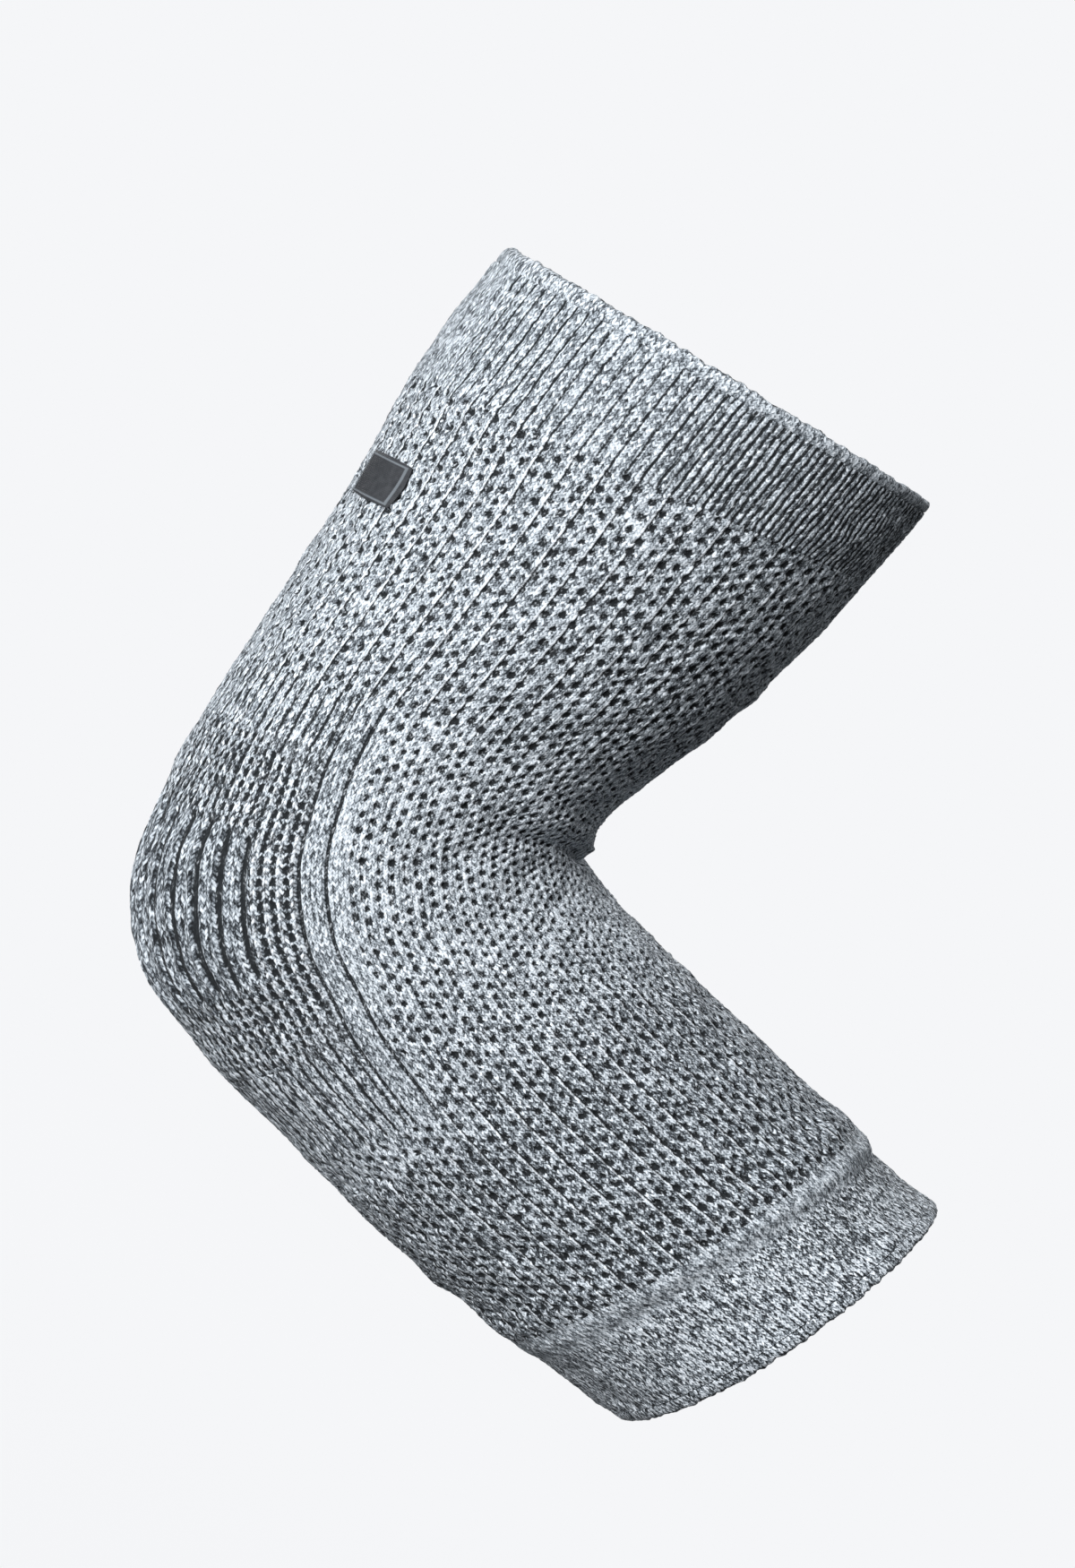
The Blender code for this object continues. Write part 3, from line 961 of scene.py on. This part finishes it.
def elastic_look():
    look = Look("elastic_webbing")
    cord = repeat(look.c * 2)
    pick = repeat(look.r * 5 + floor(look.c * 2) * 0.5)
    tone = look.noise(look.c * 6, look.r * 14, 2.0)
    # Darker between the cords: painted shade in the valleys of the webbing.
    colour = look.ramp(tone - size(cord) * 0.35,
                       [(0.1, (0.32, 0.32, 0.31)), (0.5, (0.78, 0.78, 0.76))])
    look.bump((1 - cord * cord * 4) + (1 - pick * pick * 4) * 0.5, 0.0004, 0.8)
    return look.finish(colour, 0.7, 0.1)


def silicone_look():
    look = Look("silicone")
    cloud = look.noise(look.c * 3, look.r * 6, 3.0)
    colour = look.ramp(cloud, [(0.3, (0.50, 0.52, 0.53)), (0.7, (0.66, 0.68, 0.69))])
    look.bump(cloud, 0.0002, 0.4)
    look.finish(colour, 0.32)
    look.shader.inputs["Subsurface Weight"].default_value = 0.3
    look.shader.inputs["Subsurface Radius"].default_value = (0.002, 0.002, 0.002)
    return look.material


def foam_look():
    look = Look("foam")
    pores = look.noise(look.c * 14, look.r * 14, 2.0)
    colour = look.ramp(pores, [(0.35, (0.05, 0.052, 0.058)), (0.6, (0.14, 0.145, 0.155))])
    look.bump(pores, 0.0004, 0.9)
    return look.finish(colour, 0.95)


def patch_look():
    """A blank heat-pressed patch: dark satin film with a pressed groove round its edge."""
    look = Look("patch_film")
    x = size((look.c * CELL_DEG - PATCH_WALE) / PATCH_HALF[1])
    y = size((look.r * CELL_LENGTH - PATCH_ALONG) / PATCH_HALF[0])
    groove = line(larger(x, y) - 0.84, 0.06)
    row = repeat(look.r * 9)
    wear = look.noise(look.c * 2.0, look.r * 2.0, 4.0, 5.0)
    fleck = look.noise(look.c * 12.0, look.r * 40.0, 1.0, 2.0)
    colour = look.ramp(wear * 0.5 + fleck * 0.5, [(0.3, (0.020, 0.022, 0.026)),
                                                   (0.75, (0.075, 0.080, 0.088))])
    colour = look.mix(groove * 0.6, colour, GREY_YARN)
    look.bump(1 - row * row * 4 - groove * 2, 0.0002, 0.7)
    return look.finish(colour, 0.55)


# -------- pieces

def place(piece, motion, node):
    """Put a piece in place of a CAD node and hide the node: attach it to a body, or, for a turn
    between two bodies, only bake its transform into its mesh.
    """
    if motion in TURNS:
        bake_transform(piece)
    else:
        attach(piece, motion)
    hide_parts(node)


def rounded_profile(start, end, thickness, points):
    """A closed rounded-rectangle profile, as distances along and depths."""
    angle = np.linspace(0, 2 * np.pi, points + 1) + np.pi
    x = np.sign(np.cos(angle)) * np.abs(np.cos(angle)) ** 0.6
    y = np.sign(np.sin(angle)) * np.abs(np.sin(angle)) ** 0.6
    return (start + end) / 2 + x * (end - start) / 2, thickness / 2 * (1 - y)


def hem(name, start, end, material, body):
    """A rolled hem with a slightly uneven edge; it starts at the sleeve's rim."""
    along, depth = rounded_profile(start, end, HEM, 28)
    columns = BLOCKS_ROUND * FINE
    turn = np.linspace(0, 2 * np.pi, columns + 1)
    waves = 0.10 * np.sin(17 * turn + 1.0) + 0.10 * np.sin(41 * turn)
    waves = waves + 0.08 * np.sin(97 * turn + 2.0)
    outer = 1 - smooth(depth, 0.0, HEM)[:, None]
    rim = smooth(np.abs(along - end), 1.2, abs(start - end))[:, None]
    bulge = np.sign(start - end) * rim * (waves + nap((len(along), columns + 1))) * 1.2
    piece = hoop(name, along[:, None] + bulge, depth[:, None] + waves * outer * 0.8, material)
    place(piece, body, name)


def grip_strip(name, middle, material, body):
    """A wavy silicone strip on the lining, domed towards the arm."""
    across = np.linspace(0, 1, 13)
    profile_x = np.concatenate([np.cos(across * np.pi), np.linspace(-1, 1, 7)[1:]])
    profile_y = np.concatenate([np.sin(across * np.pi) ** 0.7, np.zeros(6)])
    turn = np.linspace(0, 2 * np.pi, 2 * BLOCKS_ROUND + 1)
    wave = 0.75 * np.sin(turn * 48)
    along = middle + profile_x[:, None] * GRIP_HALF_WIDTH + wave
    depth = GRIP_DEPTH + profile_y[:, None] * GRIP + 0 * turn
    piece = hoop(name, along, depth, material)
    place(piece, body, name)


# The two halves of the elbow: what they add to a piece's name, their block lines, their motion.
HALVES = (("_upper", (0, MIDDLE), "upper turn"), ("_lower", (MIDDLE, BLOCKS_ALONG), "lower turn"))


def within(limits, top, bottom):
    """The part of a range of block lines that lies between two limits."""
    return max(top, limits[0]), min(bottom, limits[1])


def build():
    """All the pieces of the sleeve."""
    sleeve = Sleeve()
    inside = inside_look("knit_inside", -0.10)
    mesh = knit_look("knit_mesh", mesh_pattern, shift=0.01, contrast=0.93, fade=0.045)
    elbow_mesh = knit_look("knit_elbow_mesh", elbow_mesh_pattern, shift=0.04, contrast=0.93,
                           fade=0.06)
    plain = knit_look("knit_plain", lower_cuff_pattern, shift=-0.015, contrast=1.3)
    pale = knit_look("knit_pale", plain_pattern, shift=0.02, contrast=0.9)
    cuff = knit_look("knit_cuff", cuff_pattern, shift=0.01, contrast=0.80)
    band = knit_look("knit_band", band_pattern, shift=0.005, contrast=0.92)
    ribbed = knit_look("knit_ribbed", rib_pattern, shift=0.015, contrast=1.05)
    waffle = knit_look("knit_waffle", waffle_pattern, shift=-0.045)
    pad = knit_look("knit_pad", pad_pattern, shift=-0.045, contrast=0.95)
    lining = inside_look("knit_lining", -0.16)
    elastic = elastic_look()
    silicone = silicone_look()
    foam = foam_look()

    def outer(node, part, rows, columns, look, motion, thickness=KNIT, hole=None):
        piece = sleeve.piece(node + part, rows, columns, thickness, [look, inside], hole)
        place(piece, motion, node)

    hem("upper_cuff_hem", 0.0, HEM_TOP * BLOCK_LENGTH + HEM_OVERLAP, pale, "upper_sleeve")
    outer("upper_cuff", "", (HEM_TOP, CUFF_TOP), ALL_ROUND, cuff, "upper_sleeve", CUFF_LAYER)
    for side, columns in (("_left", (0, HALF_TURN)), ("_right", (-HALF_TURN, 0))):
        outer("upper_arm_panel", side, (CUFF_TOP, ELBOW_TOP), columns, mesh, "upper turn")
        outer("forearm_panel", side, (ELBOW_BOTTOM, BAND_TOP), columns, mesh, "lower turn")

    back = (-INNER_LINE, INNER_LINE)
    pad_columns = (-PAD_SIDE, PAD_SIDE)
    window = ((PAD_TOP, PAD_BOTTOM), pad_columns)
    outer("back_rib_panel_upper", "", (ELBOW_TOP, WAFFLE_TOP), back, ribbed, "upper turn")
    outer("back_rib_panel_lower", "", (WAFFLE_BOTTOM, ELBOW_BOTTOM), back, ribbed, "lower turn")
    for half, limits, motion in HALVES:
        elbow = within(limits, ELBOW_TOP, ELBOW_BOTTOM)
        outer("border_band_left", half, elbow, (INNER_LINE, OUTER_LINE), band, motion)
        outer("border_band_right", half, elbow, (-OUTER_LINE, -INNER_LINE), band, motion)
        outer("waffle_surround", half, within(limits, WAFFLE_TOP, WAFFLE_BOTTOM), back, waffle,
              motion, hole=window)
        outer("rib_pad", half, within(limits, PAD_TOP, PAD_BOTTOM), pad_columns, pad, motion,
              PAD_FACE)
        outer("inner_elbow_panel", "_left" + half, elbow, (OUTER_LINE, HALF_TURN), elbow_mesh,
              motion)
        outer("inner_elbow_panel", "_right" + half, elbow, (-HALF_TURN, -OUTER_LINE), elbow_mesh,
              motion)

    outer("forearm_band", "", (BAND_TOP, BAND_BOTTOM), ALL_ROUND, pale, "forearm_sleeve")
    outer("lower_cuff", "", (BAND_BOTTOM, HEM_BOTTOM), ALL_ROUND, plain, "forearm_sleeve",
          CUFF_LAYER)
    hem("lower_cuff_hem", SLEEVE_LENGTH, HEM_BOTTOM * BLOCK_LENGTH - HEM_OVERLAP, plain,
        "forearm_sleeve")
    inner_layers(lining, elastic, silicone, inside)
    cushion_layers(foam, lining, inside)
    blank_patch(patch_look())


def elastic_cords(c, r):
    """Relief of the elastic: two cords to a cell."""
    return 0.12 * np.cos(4 * np.pi * c)


def lining_ribs(c, r):
    """Relief of the linings: four fine ribs to a cell."""
    return 0.08 * np.cos(8 * np.pi * c)


def inner_layers(lining, elastic, silicone, inside):
    """Elastic, lining and grip strips of both cuffs."""
    for cuff, body, rows, rim, grips in (
            ("upper", "upper_sleeve", (HEM_TOP, CUFF_TOP), 0.0, (8.5, 14.5, 20.5)),
            ("lower", "forearm_sleeve", (BAND_BOTTOM, HEM_BOTTOM), SLEEVE_LENGTH, (5.0, 10.5))):
        inset = (rows[0] + 1, rows[1] - 1)
        piece = layer(f"{cuff}_cuff_elastic", inset, ALL_ROUND, ELASTIC_DEPTH, ELASTIC,
                      elastic_cords, [elastic, elastic])
        place(piece, body, f"{cuff}_cuff_elastic")
        piece = layer(f"{cuff}_cuff_lining", rows, ALL_ROUND, LINING_DEPTH, LINING,
                      lining_ribs, [lining, inside], inside_out=True)
        place(piece, body, f"{cuff}_cuff_lining")
        for number, step in enumerate(grips, start=1):
            grip_strip(f"{cuff}_grip_strip_{number}", abs(rim - step), silicone, body)


def cushion_layers(foam, lining, inside):
    """The foam insert and its lining, in two halves that meet at the middle of the elbow."""
    def quilted(c, r):
        edge = smooth(np.abs(c), PAD_REACH, 13.4) * smooth(np.abs(r - 41.6), 14.2, 12.2)
        q = channel_count(np.clip(c, -PAD_REACH, PAD_REACH))
        return edge * (0.25 + 0.25 * np.cos(2 * np.pi * repeat(q))) - 0.9 * (1 - edge)
    for half, limits, motion in HALVES:
        piece = layer("pad_insert" + half, within(limits, INSERT_TOP, INSERT_BOTTOM),
                      (-INSERT_SIDE, INSERT_SIDE), INSERT_DEPTH, INSERT, quilted, [foam, foam])
        place(piece, motion, "pad_insert")
        piece = layer("pad_lining" + half, within(limits, PAD_LINING_TOP, PAD_LINING_BOTTOM),
                      (-PAD_LINING_SIDE, PAD_LINING_SIDE), PAD_LINING_DEPTH, LINING, lining_ribs,
                      [lining, inside], inside_out=True)
        place(piece, motion, "pad_lining")


def blank_patch(material):
    """The blank patch, pressed flat over the knit, with rounded corners."""
    rows, columns = 24, 48
    v, u = np.meshgrid(np.linspace(-1, 1, rows + 1), np.linspace(-1, 1, columns + 1), indexing="ij")
    pull = 1 - 0.055 * (v * v * u * u)
    along = PATCH_ALONG + v * pull * PATCH_HALF[0]
    wale = PATCH_WALE + u * pull * PATCH_HALF[1]
    edge = smooth(larger(np.abs(v), np.abs(u)), 1.0, 0.9)
    lift = drape(along, wale)
    back, low, high = PATCH_HEIGHTS
    outer = surface(along, wale, -low - (high - low) * edge - lift)
    inner = surface(along, wale, -back - lift)
    count = (rows + 1) * (columns + 1)
    normals = flat(grid_normals(outer, False, False), -grid_normals(inner, False, False))
    knit = knit_cells(along, wale)
    faces = [(grid_faces(0, rows, columns).reshape(-1, 4),
              face_uvs(rows, columns, FINE_STRIP).reshape(-1, 4, 2), 0),
             (grid_faces(count, rows, columns).reshape(-1, 4)[:, ::-1],
              face_uvs(rows, columns, COARSE_STRIP).reshape(-1, 4, 2), 0)]
    piece = make_mesh("blank_patch", flat(outer, inner), normals, flat(knit, knit), faces,
                      [material])
    place(piece, "upper_sleeve", "blank_patch")


# -------- stage

PALE = (0.914, 0.921, 0.939, 1.0)
FLOOR_HEIGHT = -0.16
SURROUNDINGS = 0.12     # how much of their seen brightness the floor and the world give as light
FLOOR_SHADE = 0.12      # how much of the floor's middle is lit by the lamps and so takes shadows


def glow_strength(tree):
    """1 to the camera and a small share as light."""
    path = tree.nodes.new("ShaderNodeLightPath")
    seen = Value(tree, path.outputs["Is Camera Ray"])
    return seen * (1 - SURROUNDINGS) + SURROUNDINGS


def add_floor():
    """A plain pale floor, well below the sleeve so that the forearm can swing down."""
    bpy.ops.mesh.primitive_circle_add(vertices=64, radius=6.0, fill_type="NGON",
                                      location=(0, 0, FLOOR_HEIGHT))
    floor_disc = bpy.context.object
    floor_disc.name = "floor"
    look = Look("floor")
    glow = look.node("ShaderNodeEmission")
    glow.inputs[0].default_value = PALE
    look.link(glow_strength(look.tree), glow.inputs["Strength"])
    matt = look.node("ShaderNodeBsdfDiffuse")
    matt.inputs[0].default_value = PALE
    both = look.node("ShaderNodeMixShader")
    far = look.node("ShaderNodeVectorMath")
    far.operation = "LENGTH"
    spot = look.node("ShaderNodeTexCoord")
    look.tree.links.new(spot.outputs["Object"], far.inputs[0])
    shaded = smooth(Value(look.tree, far.outputs["Value"]), 0.9, 0.1) * FLOOR_SHADE
    look.link(shaded, both.inputs[0])
    look.tree.links.new(glow.outputs[0], both.inputs[1])
    look.tree.links.new(matt.outputs[0], both.inputs[2])
    output = look.tree.nodes["Material Output"]
    look.tree.links.new(both.outputs[0], output.inputs["Surface"])
    floor_disc.data.materials.append(look.material)


def add_lamp(name, towards, distance, width, power):
    """A soft square lamp that faces the middle of the sleeve."""
    low, high = CAD_BOX
    middle = (Vector(low) + Vector(high)) / 2
    data = bpy.data.lights.new(name, "AREA")
    data.energy = power
    data.size = width
    lamp = bpy.data.objects.new(name, data)
    direction = Vector(towards).normalized()
    lamp.location = middle + direction * distance
    lamp.rotation_euler = direction.to_track_quat("Z", "Y").to_euler()
    bpy.context.scene.collection.objects.link(lamp)


def add_world():
    """Even pale surroundings: full strength to the eye, weaker as a light."""
    world = bpy.data.worlds.new("studio")
    bpy.context.scene.world = world
    world.use_nodes = True
    tree = world.node_tree
    background = tree.nodes["Background"]
    background.inputs[0].default_value = PALE
    tree.links.new(glow_strength(tree).socket, background.inputs[1])


# The camera in metres: SEEN is the picture's longer side at the place looked at.
EYE = (-0.0569, -1.0, 0.1667)
LOOKED_AT = (-0.0237, 0.0, 0.0964)
IMAGE_RIGHT = (0.7815, 0.0, 0.6239)
SEEN = 0.3325
SENSOR_MM = 36


def add_camera():
    """Nearly square on to the sleeve's side, rolled so that the elbow points left."""
    middle = Vector(LOOKED_AT)
    eye = Vector(EYE)
    forward = (middle - eye).normalized()
    right = Vector(IMAGE_RIGHT)
    right = (right - forward * right.dot(forward)).normalized()
    up = right.cross(forward)
    data = bpy.data.cameras.new("camera")
    data.lens = SENSOR_MM * (middle - eye).length / SEEN
    camera = bpy.data.objects.new("camera", data)
    turn = Matrix((right, up, -forward)).transposed().to_4x4()
    camera.matrix_world = Matrix.Translation(eye) @ turn
    bpy.context.scene.collection.objects.link(camera)
    bpy.context.scene.camera = camera


build()
add_floor()
add_world()
add_lamp("key", towards=(-0.60, -0.80, 0.12), distance=1.2, width=0.6, power=25.0)
add_lamp("back fill", towards=(-0.1, 0.9, 0.4), distance=1.4, width=1.2, power=16.0)
add_lamp("top fill", towards=(0.12, -0.2, 1.0), distance=1.2, width=0.8, power=3.2)
add_camera()
bpy.context.scene.view_settings.view_transform = "Standard"
